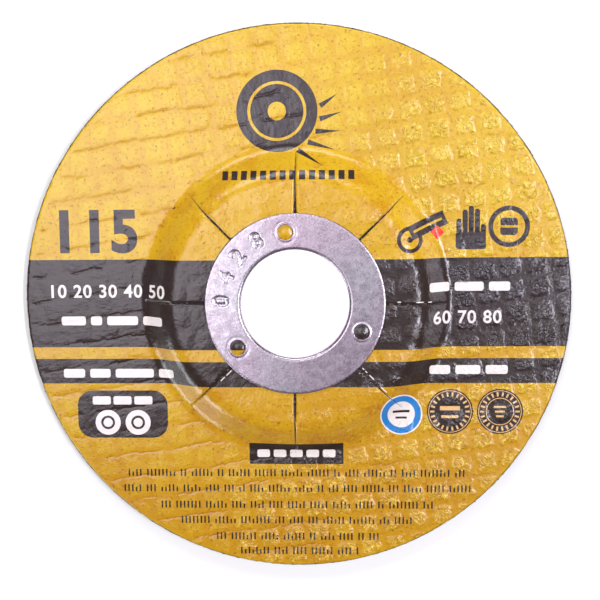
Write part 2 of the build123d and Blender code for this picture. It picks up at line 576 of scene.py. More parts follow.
class PressedNet:
    """How the net under the label shows in it, in metres, at a point of the wheel's plane."""

    def __init__(self, wheel):
        self.wheel = wheel
        self.cos, self.sin = math.cos(wheel.net_turn), math.sin(wheel.net_turn)
        self.pad_u = (wheel.warp_pitch - wheel.yarn_width) / 2
        self.pad_v = (wheel.weft_pitch - wheel.yarn_width) / 2
        self.foot = wheel.rim_corner + wheel.rim_round * math.tan(slope_angle(wheel) / 2)
        self.edge = wheel.rim_radius - wheel.label_margin
        self.deepest = 0.12 * MM

    def along(self, x, y):
        return x * self.cos + y * self.sin, -x * self.sin + y * self.cos

    def back(self, u, v):
        return u * self.cos - v * self.sin, u * self.sin + v * self.cos

    def crease(self, u, row):
        """Where the wrinkle over one weft yarn runs at this place along it, and how deep it is there."""
        wheel = self.wheel
        along = u / MM
        slow = drift(along / 7.5, row * 5.7, 3.0)
        share = smooth((slow + 0.30 - 0.52 * smooth((along + 14) / 46)) / 0.22)
        wave = 0.26 * drift(along / 1.7, row * 7.3, 2.0)
        wave += 0.55 * drift(along / 9.0, row * 3.9, 6.0)
        step = (along / (wheel.warp_pitch / MM) + 0.3 * row) % 1.0 - 0.5
        line = wheel.weft_shift + (row + 0.5) * wheel.weft_pitch + (wave + 0.30 * step) * MM
        depth = (0.06 + 0.06 * chance(int(along / 4), row, 6)) * share
        return line, depth * MM

    def crumple(self, x, y):
        """Sharp little folds of paper that was pressed onto grit, from about -1 to 1."""
        place = Vector((x, y, 0)) / MM
        place += 0.35 * noise.noise_vector(place / 0.8)
        folds = 1 - 3.2 * abs(noise.noise(place / 0.85 + Vector((3, 8, 1))))
        small = noise.noise(place / 0.55 + Vector((9, 0, 0)))
        return 0.65 * folds + 0.6 * small

    def at(self, x, y):
        """Height above the plain label, and how much of a pad, of a wrinkle and of grit there is."""
        wheel = self.wheel
        r = math.hypot(x, y)
        u, v = self.along(x, y)
        x_mm, y_mm = x / MM, y / MM
        i = round((u - wheel.warp_shift) / wheel.warp_pitch)
        j = round((v - wheel.weft_shift) / wheel.weft_pitch)
        du = abs(u - wheel.warp_shift - i * wheel.warp_pitch)
        dv = abs(v - wheel.weft_shift - j * wheel.weft_pitch)

        # Pads with swaying edges over the openings, which stand out more towards the right
        ramp = 0.6 * MM
        sway = drift(x_mm / 1.3, y_mm / 1.3, 5) * 0.55 * MM
        lean = drift(x_mm / 1.3, y_mm / 1.3, 15) * 0.55 * MM
        pad = smooth((self.pad_u + sway - du) / ramp + 0.5) * smooth((self.pad_v + lean - dv) / ramp + 0.5)
        on_rim = smooth((r - self.foot + 1.2 * MM) / (2.5 * MM)) * smooth((self.edge - r) / (1.4 * MM))
        right = smooth((x_mm + 12 - 0.35 * y_mm) / 34)
        height = wheel.relief * 0.66 * pad * on_rim * (0.22 + 0.78 * right) * (0.6 + 0.4 * chance(i, j, 1))
        height += 0.6 * wheel.relief * pad * (1 - on_rim) * smooth((self.edge - r) / MM) * chance(i, j, 2)

        # Grit behind the paper, and its slow waves
        rough = (0.22 + 0.78 * pad) * (0.16 + 0.84 * right) * (0.5 + 0.5 * chance(i, j, 8))
        height += 0.036 * MM * self.crumple(x, y) * rough * on_rim
        height += 0.035 * MM * drift(x_mm / 4.5, y_mm / 4.5 + 40, 0)

        # The wrinkle over the nearest weft yarn
        low = 0.0
        row = round((v - wheel.weft_shift) / wheel.weft_pitch - 0.5)
        line, depth = self.crease(u, row)
        inside = smooth((r - self.foot + 2 * MM) / MM) * smooth((self.edge - 0.6 * MM - r) / MM)
        across = (v - line) / (0.17 * MM)
        if depth and abs(across) < 4:
            low = math.exp(-across * across) * inside * depth / self.deepest
            height -= self.deepest * low
        at_edge = 1 - smooth((self.edge - r) / (1.4 * MM))
        return height, max(pad * on_rim, at_edge), low, rough * (0.5 + 0.5 * on_rim)

    def crease_points(self):
        """Points along every wrinkle and along both its banks, so that it is cut cleanly into the sheet."""
        points = []
        step = 0.38 * MM
        reach = int(self.edge / self.wheel.weft_pitch) + 1
        count = int(self.edge / step)
        for row in range(-reach, reach + 1):
            for k in range(-count, count + 1):
                line, depth = self.crease(step * k, row)
                if depth < 0.15 * self.deepest:
                    continue
                for bank in (-0.3, -0.1, 0.1, 0.3):
                    x, y = self.back(step * k, line + bank * MM)
                    if self.foot - 1 * MM < math.hypot(x, y) < self.edge - 0.8 * MM:
                        points.append((x, y))
        return points


def outlines_of(triangles):
    """The open edges of a sheet, as closed runs of points in the order of its faces."""
    edges = {(t[k], t[(k + 1) % 3]) for t in triangles for k in range(3)}
    following = {a: b for a, b in edges if (b, a) not in edges}
    runs = []
    while following:
        start = next(iter(following))
        run, point = [], start
        while point in following:
            run.append(point)
            point = following.pop(point)
        runs.append(run)
    return sorted(runs, key=len, reverse=True)


def label_top(wheel, net, flat):
    """Places of the printed face's points, and the pad, the wrinkle and the grit at each."""
    bump_base = wheel.key_hole - 0.2 * MM
    keys = key_centres(wheel)
    vertices, press = [], []
    for x, y in flat:
        r = math.hypot(x, y)
        lift, *shares = net.at(x, y)
        z = surface_height(wheel, r, -wheel.label_thickness)
        if r > wheel.ring_radius:
            z += max(lift, -0.65 * wheel.label_thickness)
        for kx, ky in keys:
            off = math.hypot(x - kx, y - ky)
            if off < bump_base:
                z += wheel.key_bump * (1 - (off / bump_base) ** 2)
        vertices.append((x, y, z))
        press += shares
    return vertices, press


def label_piece():
    """The label as a closed sheet: printed top, paper edges and a plain back."""
    wheel = sizes()
    net = PressedNet(wheel)
    flat, triangles, inks = label_cut(wheel, net)
    used, faces = used_points(triangles)
    flat = [flat[i] for i in used]
    vertices, press = label_top(wheel, net, flat)

    # Paper edges, at the rim and along the hole and the slits
    rim, hole = outlines_of(faces)[:2]
    low = {}
    for run in (rim, hole):
        for i in run:
            low[i] = len(vertices)
            x, y = flat[i]
            vertices.append((x, y, surface_height(wheel, math.hypot(x, y)) + 0.005 * MM))
        faces += [(b, a, low[a], low[b]) for a, b in zip(run, run[1:] + run[:1])]

    # A back on fewer points, clear of the slits
    hole = hole[::-1]
    blank = Blank()
    blank.cut([flat[i] for i in rim])
    blank.cut([flat[i] for i in hole])
    places = [low[i] for i in rim + hole]
    for r in BACK_RADII:
        for x, y in circle(r * MM, 96, start=0.021 * r):
            off_slit = abs(math.sin(SLITS / 2 * math.atan2(y, x))) * r / (SLITS / 2)
            if off_slit > 0.45 or r * MM > wheel.slit_end:
                places.append(len(vertices))
                blank.points.append((x, y))
                vertices.append((x, y, surface_height(wheel, r * MM) - 0.04 * MM))
    _, back, sources = blank.triangles(1e-9)
    for triangle, origin in back:
        corners = [sources[i][0] if sources[i] else None for i in triangle]
        if origin and max(origin) == 0 and None not in corners:
            a, b, c = (places[i] for i in corners)
            faces.append((a, c, b))

    piece = new_object("printed_label", vertices, faces)
    inks += ["white"] * (len(faces) - len(inks))
    named = {name: list(getattr(colours(), name)) for name in INKS}
    corners = []
    for face, name in zip(piece.data.polygons, inks):
        corners += named[name] * len(face.vertices)
    piece.data.color_attributes.new("ink", "FLOAT_COLOR", "CORNER").data.foreach_set("color", corners)
    press += [0.0] * (3 * len(vertices) - len(press))
    piece.data.attributes.new("press", "FLOAT_VECTOR", "POINT").data.foreach_set("vector", press)
    return piece


# Materials


def material(name):
    """A new material with only its output, its surface shader and Object coordinates."""
    made = bpy.data.materials.new(name)
    made.use_nodes = True
    tree = made.node_tree
    tree.nodes.clear()
    shader = add(tree, "ShaderNodeBsdfPrincipled")
    add(tree, "ShaderNodeOutputMaterial", {"Surface": shader})
    place = add(tree, "ShaderNodeTexCoord").outputs["Object"]
    return made, tree, shader, place


def patches(tree, place, size_mm, cut=None, share=(0.0, 1.0), detail=2.0, roughness=0.5):
    """Noise lumps about this many millimetres wide. The part between the cuts is spread over the share."""
    scale = 0.6 / (size_mm * MM)
    pattern = {"Vector": place, "Scale": scale, "Detail": detail, "Roughness": roughness}
    lumps = add(tree, "ShaderNodeTexNoise", pattern)
    if cut is None:
        return lumps
    return add(tree, "ShaderNodeMapRange", (lumps, *cut, *share))


def coats(tree, base, layers):
    """Lays colours over a base, each by the product of its shares: MULTIPLY tints it and MIX covers it."""
    for mode, colour, strength, *shares in layers:
        for share in shares:
            strength = ("MULTIPLY", strength, share)
        colour = linear(colour) if isinstance(colour, str) else tuple(colour)
        sources = {0: strength, 6: base, 7: colour}
        base = add(tree, "ShaderNodeMix", sources, data_type="RGBA", blend_type=mode).outputs[2]
    return base


def printed_paper():
    """Coated label paper, offset printed and varnished: smooth shiny inks, with painted highlights and
    painted shade on the gritty parts, and painted shade in the wrinkles, off the pads and towards the lower
    edge.
    """
    made, tree, shader, place = material("Varnished label paper")
    inks = add(tree, "ShaderNodeAttribute", attribute_name="ink").outputs["Color"]
    red, _, blue = add(tree, "ShaderNodeSeparateColor", (inks,)).outputs
    press = add(tree, "ShaderNodeAttribute", attribute_name="press").outputs["Vector"]
    pad, crease, gritty = add(tree, "ShaderNodeSeparateXYZ", (press,)).outputs
    # White, gold and blue inks take little of the stains, the painted shade and the painted highlights
    ground = add(tree, "ShaderNodeMapRange", (blue, 0.05, 0.4, 0.8, 0.12))
    # Painted shade: the label is darker and browner towards the lower edge
    lower = add(tree, "ShaderNodeVectorMath", (place, (0, -1, 0)), operation="DOT_PRODUCT").outputs["Value"]
    lower_edge_shade = add(tree, "ShaderNodeMapRange", (lower, -20 * MM, 45 * MM))
    # Painted shade: darker wherever no pad lifts the paper, so the grooves between the pads are darker and
    # the raised pads lighter
    off_pad_shade = add(tree, "ShaderNodeMapRange", (pad, 0.0, 1.0, 0.65, 0.0))
    # Darker, browner streaks in a band over the slope
    flat = add(tree, "ShaderNodeVectorMath", (place, (1, 1, 0)), operation="MULTIPLY")
    far = add(tree, "ShaderNodeVectorMath", (flat,), operation="LENGTH").outputs["Value"]
    off_slope = ("ABSOLUTE", ("SUBTRACT", far, 28.5 * MM))
    on_slope = add(tree, "ShaderNodeMapRange", (off_slope, 8.0 * MM, 3.0 * MM))
    streaks = patches(tree, place, 3.2, (0.50, 0.58), (0, 0.75), 4, 0.6)
    # Painted highlight and painted shade on the gritty paper: pale yellow flecks on the coloured ink, and
    # darker flecks between them
    grit = patches(tree, place, 0.5, detail=3, roughness=0.7)
    grit_highlight = add(tree, "ShaderNodeMapRange", (grit, 0.52, 0.70))
    grit_shade = add(tree, "ShaderNodeMapRange", (grit, 0.48, 0.32, 0, 0.6))
    on_colour = add(tree, "ShaderNodeMapRange", (red, 0.1, 0.6))
    # Painted shade along the wrinkles over the weft yarns
    crease_shade = add(tree, "ShaderNodeMapRange", (crease, 0.15, 0.8, 0, 0.8))
    layers = (
        ("MULTIPLY", "#F5EACB", patches(tree, place, 9.0, (0.38, 0.66), detail=3), ground),
        # Painted shade towards the lower edge
        ("MULTIPLY", "#E2CB69", lower_edge_shade, ground),
        # Painted shade off the raised pads
        ("MULTIPLY", "#F6E3B8", off_pad_shade, ground),
        ("MULTIPLY", "#EFD786", streaks, on_slope, ground),
        # Painted highlight: pale flecks on the gritty coloured ink
        ("MIX", "#FFDD65", grit_highlight, gritty, ground, on_colour),
        # Painted shade: darker flecks between the grit's highlights
        ("MULTIPLY", "#D4B58B", grit_shade, gritty),
        ("MULTIPLY", "#E7D4AD", patches(tree, place, 0.38, (0.56, 0.66), (0, 0.85), 2, 0.6), ground),
        ("MULTIPLY", "#BCA26C", patches(tree, place, 0.42, (0.61, 0.66), (0, 1.0), 3, 0.65), ground),
        # Painted shade along the wrinkles
        ("MULTIPLY", "#BFA265", crease_shade, ground),
    )
    # Grit pressed into the paper from behind: about 0.4 mm, coarser where the net leaves it bare
    off_ridge = ("ABSOLUTE", ("SUBTRACT", patches(tree, place, 0.8, detail=1), 0.5))
    ridges = add(tree, "ShaderNodeMapRange", (off_ridge, 0.0, 0.08, 0.5, 0.0))
    fine = patches(tree, place, 0.42, detail=3, roughness=0.62)
    folds = patches(tree, place, 1.7, detail=3, roughness=0.6)
    height = ("MULTIPLY", ridges, add(tree, "ShaderNodeMapRange", (gritty, 0.2, 0.8)))
    height = ("MULTIPLY_ADD", fine, add(tree, "ShaderNodeMapRange", (gritty, 0, 1, 0.12, 1.45)), height)
    height = ("MULTIPLY_ADD", folds, 0.55, height)
    bump = add(tree, "ShaderNodeBump", {"Height": height, "Strength": 1.0, "Distance": 0.22 * MM})
    finish = {
        "Base Color": coats(tree, inks, layers),
        "Roughness": patches(tree, place, 3.0, (0.3, 0.7), (0.30, 0.42), detail=3),
        "Specular IOR Level": 0.0,
        "Normal": bump,
        "Coat Weight": 1.0,
        "Coat Roughness": add(tree, "ShaderNodeMapRange", (gritty, 0.45, 0.95, 0.21, 0.09)),
        "Coat IOR": 1.5,
        "Coat Normal": bump,
    }
    feed(tree, shader, finish)
    return made


def tinplate():
    """Steel sheet with a thin tin coat, blanked and pressed: pale, softly mottled, with worn specks."""
    made, tree, shader, place = material("Pressed tinplate")
    layers = (
        ("MULTIPLY", "#FFF1F8", patches(tree, place, 7.0, (0.36, 0.64))),
        ("MULTIPLY", "#E2E2E3", patches(tree, place, 0.9, (0.35, 0.65), detail=4, roughness=0.75)),
        ("MULTIPLY", "#E7E6E7", patches(tree, place, 0.22, (0.35, 0.65), detail=1)),
        ("MULTIPLY", "#B3ADAD", patches(tree, place, 0.35, (0.67, 0.73), (0, 0.7), roughness=0.6)),
    )
    height = patches(tree, place, 0.6, detail=4, roughness=0.7)
    finish = {
        "Base Color": coats(tree, tuple(colours().steel), layers),
        "Metallic": 1.0,
        "Roughness": patches(tree, place, 0.9, (0.3, 0.7), (0.20, 0.34), detail=4, roughness=0.7),
        "Normal": add(tree, "ShaderNodeBump", {"Height": height, "Strength": 0.5, "Distance": 0.02 * MM}),
    }
    feed(tree, shader, finish)
    return made


def bonded_grit():
    """Brown aluminium oxide in phenolic resin, pressed and baked: dull near-black with glinting grains."""
    made, tree, shader, place = material("Resin-bonded grit")
    grains = add(tree, "ShaderNodeTexVoronoi", {"Vector": place, "Scale": 1 / (0.6 * MM)})
    own = add(tree, "ShaderNodeSeparateColor", (grains.outputs["Color"],))
    lump = add(tree, "ShaderNodeMapRange", (grains.outputs["Distance"], 0.30, 0.55, 1, 0))
    layers = (
        ("MIX", colours().grit, lump, add(tree, "ShaderNodeMapRange", (own, 0.35, 0.6))),
        ("MULTIPLY", "#DDD4CE", patches(tree, place, 4.0, (0.3, 0.7), detail=3)),
    )
    relief = {"Height": ("MULTIPLY", lump, own), "Strength": 0.7, "Distance": 0.12 * MM}
    finish = {
        "Base Color": coats(tree, tuple(colours().resin), layers),
        "Roughness": add(tree, "ShaderNodeMapRange", (own, 0, 1, 0.5, 0.85)),
        "Specular IOR Level": 0.18,
        "Normal": add(tree, "ShaderNodeBump", relief),
    }
    feed(tree, shader, finish)
    return made


def loose_grain():
    """Fractured brown aluminium oxide: hard bright-edged grains, some still under a film of resin."""
    made, tree, shader, place = material("Brown grit grain")
    layers = (("MIX", colours().grit, patches(tree, place, 1.1, (0.4, 0.62), detail=1)),)
    base = coats(tree, tuple(colours().resin), layers)
    feed(tree, shader, {"Base Color": base, "Roughness": 0.42, "IOR": 1.76})
    return made


def glass_yarn():
    """Flat glass yarns soaked in phenolic resin and baked: amber strands with a silky line along them."""
    made, tree, shader, place = material("Resin-soaked glass yarn")
    across = add(tree, "ShaderNodeAttribute", attribute_name="across").outputs["Fac"]
    run = add(tree, "ShaderNodeAttribute", attribute_name="run").outputs["Fac"]
    strand = add(tree, "ShaderNodeCombineXYZ", (across, ("MULTIPLY", run, 0.04)))
    strands = patches(tree, strand, 0.11)
    layers = (
        ("MULTIPLY", "#B3B3B3", add(tree, "ShaderNodeMapRange", (strands, 0.35, 0.65, 1.0, 0.0))),
        ("MULTIPLY", "#9E9086", patches(tree, place, 6.0, (0.42, 0.62), (0, 0.75), detail=3)),
        ("MIX", colours().resin, patches(tree, place, 0.5, (0.62, 0.68), roughness=0.6)),
    )
    finish = {
        "Base Color": coats(tree, tuple(colours().yarn), layers),
        "Roughness": 0.48,
        "Normal": add(tree, "ShaderNodeBump", {"Height": strands, "Strength": 0.8, "Distance": 0.05 * MM}),
    }
    feed(tree, shader, finish)
    return made


def floor_paint():
    """Matt white board: it keeps the wheel's soft shadow and looks plain white to the camera elsewhere."""
    made, tree, shader, place = material("Matt white board")
    finish = {"Base Color": tuple(colours().floor), "Roughness": 0.9, "Specular IOR Level": 0.0}
    feed(tree, shader, finish)
    rays = add(tree, "ShaderNodeLightPath").outputs
    seen = ("MAXIMUM", rays["Is Camera Ray"], rays["Is Glossy Ray"])
    seen = ("MAXIMUM", seen, rays["Is Transmission Ray"])
    far = add(tree, "ShaderNodeVectorMath", (place,), operation="LENGTH").outputs["Value"]
    plain = add(tree, "ShaderNodeMapRange", (far, 0.12, 0.45, 0.15, 1.0))
    glow = add(tree, "ShaderNodeEmission", {"Strength": 1.0})
    mix = add(tree, "ShaderNodeMixShader", (("MULTIPLY", seen, plain), shader, glow))
    feed(tree, tree.get_output_node("ALL"), {"Surface": mix})
    return made


def lit_board():
    """Translucent white acrylic, lit from below, that fills the bore with white."""
    made, tree, shader, _ = material("Lit white acrylic")
    white = linear("#FFFFFF")
    feed(tree, shader, {"Base Color": linear("#E7E7E7"), "Emission Color": white, "Emission Strength": 1.1})
    return made


# Geometry node trees


def node_tree(name, inputs):
    """A geometry node group with a Geometry input and these named sizes."""
    tree = bpy.data.node_groups.new(name, "GeometryNodeTree")
    for label, kind in {"Geometry": "Geometry", **inputs}.items():
        tree.interface.new_socket(label, in_out="INPUT", socket_type=f"NodeSocket{kind}")
    tree.interface.new_socket("Geometry", in_out="OUTPUT", socket_type="NodeSocketGeometry")
    return tree, add(tree, "NodeGroupInput").outputs


def end_tree(tree, geometry, paint):
    """Ends a tree with plain geometry in its material, which the export can read."""
    real = add(tree, "GeometryNodeRealizeInstances", (geometry,))
    dressed = add(tree, "GeometryNodeSetMaterial", {"Geometry": real, "Material": paint})
    add(tree, "NodeGroupOutput", (dressed,))
    return tree


def grow(name, tree, values, carrier=None):
    """Runs a node tree on a mesh and returns its result as a plain mesh object."""
    holder = carrier or new_object(name, [], [])
    modifier = holder.modifiers.new("grow", "NODES")
    modifier.node_group = tree
    for item in tree.interface.items_tree:
        if item.in_out == "INPUT" and item.name in values:
            modifier[item.identifier] = values[item.name]
    holder.update_tag()
    made = bpy.data.objects.new(name, evaluated_mesh(holder))
    bpy.context.scene.collection.objects.link(made)
    holder.modifiers.remove(modifier)
    if carrier is None:
        bpy.data.objects.remove(holder)
    return made


def yarn_tree():
    """Parallel yarns draped over a form, which rise and sink where they cross the other layer."""
    lengths = ("Inner reach", "Outer reach", "Pitch", "Shift", "Crossing pitch", "Crossing shift")
    lengths += ("Width", "Height", "Weave", "Step")
    inputs = {"Form": "Object", "Turn": "Float", "Side": "Float", "Seed": "Int", "Material": "Material"}
    tree, given = node_tree("Draped yarns", inputs | dict.fromkeys(lengths, "Float"))

    # Straight lines in a frame whose X runs along the yarns, one more on each side than the reach needs
    half = ("FLOOR", ("DIVIDE", given["Outer reach"], given["Pitch"]))
    first = ("MULTIPLY_ADD", ("MULTIPLY_ADD", half, -1.0, -1.0), given["Pitch"], given["Shift"])
    start = add(tree, "ShaderNodeCombineXYZ", {"Y": first})
    spacing = add(tree, "ShaderNodeCombineXYZ", {"Y": given["Pitch"]})
    total = ("MULTIPLY_ADD", half, 2.0, 3.0)
    rows = add(tree, "GeometryNodeMeshLine", {"Count": total, "Start Location": start, "Offset": spacing})
    left = add(tree, "ShaderNodeCombineXYZ", {"X": ("MULTIPLY", given["Outer reach"], -1.0)})
    stride = add(tree, "ShaderNodeCombineXYZ", {"X": given["Step"]})
    count = ("DIVIDE", ("MULTIPLY", given["Outer reach"], 2.0), given["Step"])
    line = add(tree, "GeometryNodeMeshLine", {"Count": count, "Start Location": left, "Offset": stride})
    lines = add(tree, "GeometryNodeInstanceOnPoints", {"Points": rows, "Instance": line})
    straight = add(tree, "GeometryNodeRealizeInstances", (lines,))

    # Yarns wander a little, and stop short of the rim and of the bore
    place = add(tree, "GeometryNodeInputPosition")
    own_row = add(tree, "ShaderNodeVectorMath", (place, (1.0, 40.0, 1.0)), operation="MULTIPLY")
    moved = add(tree, "ShaderNodeVectorMath", (own_row, ("MULTIPLY", given["Seed"], 3.1)), operation="ADD")
    wander = add(tree, "ShaderNodeTexNoise", {"Vector": moved, "Scale": 60.0, "Detail": 1.0})
    sway = ("MULTIPLY", ("SUBTRACT", wander, 0.5), 1.2 * MM)
    aside = add(tree, "ShaderNodeCombineXYZ", {"Y": sway})
    swayed = add(tree, "GeometryNodeSetPosition", {"Geometry": straight, "Offset": aside})
    far = add(tree, "ShaderNodeVectorMath", (place,), operation="LENGTH").outputs["Value"]
    outside = ("GREATER_THAN", far, given["Outer reach"])
    past = ("MAXIMUM", outside, ("LESS_THAN", far, given["Inner reach"]))
    cut = add(tree, "GeometryNodeDeleteGeometry", {"Geometry": swayed, "Selection": past})

    # Over and under: one wave spans two crossings
    axes = add(tree, "ShaderNodeSeparateXYZ", (place,)).outputs
    phase = ("DIVIDE", ("SUBTRACT", axes["X"], given["Crossing shift"]), given["Crossing pitch"])
    row = ("ROUND", ("DIVIDE", ("SUBTRACT", axes["Y"], given["Shift"]), given["Pitch"]))
    swing = ("COSINE", ("MULTIPLY", ("ADD", phase, row), math.pi))
    wave = ("MULTIPLY", swing, ("MULTIPLY", given["Weave"], given["Side"]))
    saved = add(tree, "GeometryNodeStoreNamedAttribute", {"Geometry": cut, "Name": "wave", "Value": wave})
    turn = add(tree, "ShaderNodeCombineXYZ", {"Z": given["Turn"]})
    turned = add(tree, "GeometryNodeTransform", {"Geometry": saved, "Rotation": turn})

    # Drape on the form from below
    form = add(tree, "GeometryNodeObjectInfo", (given["Form"],), transform_space="ORIGINAL")
    below = add(tree, "ShaderNodeVectorMath", (place, (0, 0, -20 * MM)), operation="ADD")
    ray = {"Source Position": below, "Ray Direction": (0, 0, 1), "Ray Length": 100 * MM}
    hit = add(tree, "GeometryNodeRaycast", {"Target Geometry": form.outputs["Geometry"], **ray}).outputs
    side_up = {"Geometry": turned, "Name": "facing", "Value": hit["Hit Normal"]}
    kept = add(tree, "GeometryNodeStoreNamedAttribute", side_up, data_type="FLOAT_VECTOR")
    rise = add(tree, "GeometryNodeInputNamedAttribute", {"Name": "wave"}, data_type="FLOAT")
    lift = add(tree, "ShaderNodeVectorMath", {0: hit["Hit Normal"], "Scale": rise}, operation="SCALE")
    onto = add(tree, "ShaderNodeVectorMath", (hit["Hit Position"], lift), operation="ADD")
    draped = add(tree, "GeometryNodeSetPosition", {"Geometry": kept, "Position": onto})
    curves = add(tree, "GeometryNodeMeshToCurve", {"Mesh": draped})
    facing_out = add(tree, "GeometryNodeInputNamedAttribute", {"Name": "facing"}, data_type="FLOAT_VECTOR")
    held = add(tree, "GeometryNodeSetCurveNormal", {"Curve": curves, "Normal": facing_out}, mode="FREE")
    run = add(tree, "GeometryNodeSplineParameter").outputs["Length"]
    measured = add(tree, "GeometryNodeStoreNamedAttribute", {"Geometry": held, "Name": "run", "Value": run})

    # Flat oval section
    oval = add(tree, "GeometryNodeCurvePrimitiveCircle", {"Resolution": 12, "Radius": 0.5}, mode="RADIUS")
    flat = add(tree, "ShaderNodeCombineXYZ", (given["Height"], given["Width"], 1.0))
    sized = add(tree, "GeometryNodeTransform", {"Geometry": oval, "Scale": flat})
    across = {"Geometry": sized, "Name": "across", "Value": axes["Y"]}
    section = add(tree, "GeometryNodeStoreNamedAttribute", across)
    sweep = {"Curve": measured, "Profile Curve": section, "Fill Caps": True}
    solid = add(tree, "GeometryNodeCurveToMesh", sweep)
    return end_tree(tree, add(tree, "GeometryNodeSetShadeSmooth", {"Geometry": solid}), given["Material"])


def grain_tree():
    """Broken grains set in the bare faces of the abrasive."""
    numbers = ("Rim reach", "Rear density", "Rim density", "Grain")
    inputs = {"Seed": "Int", "Material": "Material"} | dict.fromkeys(numbers, "Float")
    tree, given = node_tree("Grit grains", inputs)
    place = add(tree, "GeometryNodeInputPosition")
    flat = add(tree, "ShaderNodeVectorMath", (place, (1, 1, 0)), operation="MULTIPLY")
    far = add(tree, "ShaderNodeVectorMath", (flat,), operation="LENGTH").outputs["Value"]
    up = add(tree, "ShaderNodeSeparateXYZ", (add(tree, "GeometryNodeInputNormal"),)).outputs["Z"]
    rear = ("MULTIPLY", ("LESS_THAN", up, -0.4), given["Rear density"])
    at_rim = ("MULTIPLY", ("GREATER_THAN", far, given["Rim reach"]), ("LESS_THAN", up, 0.4))
    density = ("MAXIMUM", rear, ("MULTIPLY", at_rim, given["Rim density"]))
    faces = {"Mesh": given["Geometry"], "Density": density, "Seed": given["Seed"]}
    points = add(tree, "GeometryNodeDistributePointsOnFaces", faces, distribute_method="RANDOM")

    # Four shapes of grain, each a ball pushed out of round
    shapes = add(tree, "GeometryNodeJoinGeometry")
    for i in range(4):
        ball = add(tree, "GeometryNodeMeshIcoSphere", {"Radius": 0.5, "Subdivisions": 1})
        moved = add(tree, "ShaderNodeVectorMath", (place, (3.7 * i, 1.9 * i, 0.0)), operation="ADD")
        bumps = {"Vector": moved, "Scale": 2.4, "Detail": 0.0}
        rough = add(tree, "ShaderNodeTexNoise", bumps).outputs["Color"]
        centred = add(tree, "ShaderNodeVectorMath", (rough, (0.5, 0.5, 0.5)), operation="SUBTRACT")
        push = add(tree, "ShaderNodeVectorMath", {0: centred, "Scale": 1.1}, operation="SCALE")
        broken = add(tree, "GeometryNodeSetPosition", {"Geometry": ball, "Offset": push})
        feed(tree, shapes, {0: add(tree, "GeometryNodeGeometryToInstance", (broken,))})
    whole_turn = (6.283, 6.283, 6.283)
    spins = {"Min": (0, 0, 0), "Max": whole_turn, "Seed": 5}
    spin = add(tree, "FunctionNodeRandomValue", spins, data_type="FLOAT_VECTOR")
    stretches = {"Min": (0.45, 0.45, 0.35), "Max": (1.15, 1.0, 0.8), "Seed": 6}
    stretch = add(tree, "FunctionNodeRandomValue", stretches, data_type="FLOAT_VECTOR")
    scale = add(tree, "ShaderNodeVectorMath", {0: stretch, "Scale": given["Grain"]}, operation="SCALE")
    grains = {"Points": points, "Instance": shapes, "Pick Instance": True, "Rotation": spin, "Scale": scale}
    return end_tree(tree, add(tree, "GeometryNodeInstanceOnPoints", grains), given["Material"])


# Pieces


def disc_profile(wheel):
    """The section of the abrasive, outwards over the front and back along the rear."""
    bevel, broken = 0.25 * MM, 0.15 * MM
    bore, rim = wheel.disc_bore, wheel.rim_radius
    label_end = rim - wheel.label_margin - 0.6 * MM
    hidden = spread(bore + 0.3 * MM, label_end, 30)
    profile = [(r, surface_height(wheel, r)) for r in hidden]
    profile += walk([(label_end, wheel.rim_top), (rim - bevel, wheel.rim_top)], 0.2 * MM)[1:]
    profile += walk([(rim - bevel, wheel.rim_top), (rim, wheel.rim_top - bevel)], 0.2 * MM)[1:]
    profile += walk([(rim, wheel.rim_top - bevel), (rim, broken)], 0.24 * MM)[1:]
    lip = rim - 1.1 * MM
    foot = [(rim, broken), (rim - broken, 0), (lip, 0), (lip - broken, wheel.net_thickness)]
    profile += walk(foot, 0.3 * MM)[1:]
    hub_lip = bore + 0.9 * MM
    rear = spread(lip - broken, hub_lip + broken, 74)[1:]
    profile += [(r, surface_height(wheel, r, wheel.body_thickness, rear=True)) for r in rear]
    low = wheel.hub_rise
    collar_side = [profile[-1], (hub_lip, low), (bore + broken, low), (bore, low + broken)]
    profile += walk(collar_side, 0.3 * MM)[1:]
    profile += [(bore, low + 1.2 * MM), (bore, wheel.rim_top + wheel.hub_rise - 0.3 * MM)]
    return profile


def roughen(piece, wheel):
    """Sinks the bare faces unevenly, as pressed grit leaves them, never past the wheel's size."""
    mesh = piece.data
    normals = [vertex.normal.copy() for vertex in mesh.vertices]
    covered = wheel.rim_radius - wheel.label_margin - 0.3 * MM
    for vertex, normal in zip(mesh.vertices, normals):
        under_label = normal.z > 0.5 and math.hypot(vertex.co.x, vertex.co.y) < covered
        if under_label:
            continue
        place = vertex.co / MM
        coarse = noise.noise(place / 0.9) + 0.6 * noise.noise(place / 0.45)
        vertex.co -= normal * max(0.07 * MM * (1 + coarse), 0)


class WHEEL_OT_abrasive(bpy.types.Operator):
    """Builds the abrasive with its rough rear and rim, and sets grains in it"""

    bl_idname = "wheel.abrasive"
    bl_label = "Abrasive disc"

    def execute(self, context):
        wheel = sizes()
        disc = lathe("abrasive_body", disc_profile(wheel)[::-1], 620)
        roughen(disc, wheel)
        grain = loose_grain()
        values = {
            "Rim reach": wheel.rim_radius - 0.12 * MM,
            "Rear density": 0.34e6,
            "Rim density": 1.3e6,
            "Grain": 0.58 * MM,
            "Seed": 11,
            "Material": grain,
        }
        grit = grow("grit_grains", grain_tree(), values, disc)
        # No grain stands out past the wheel's size
        for vertex in grit.data.vertices:
            r = math.hypot(vertex.co.x, vertex.co.y)
            if r > wheel.rim_radius:
                vertex.co.x *= wheel.rim_radius / r
                vertex.co.y *= wheel.rim_radius / r
            vertex.co.z = max(vertex.co.z, 0.0)
        finish_piece(disc, bonded_grit(), "abrasive_disc")
        finish_piece(grit, grain, "abrasive_disc", smooth=False)
        return {"FINISHED"}


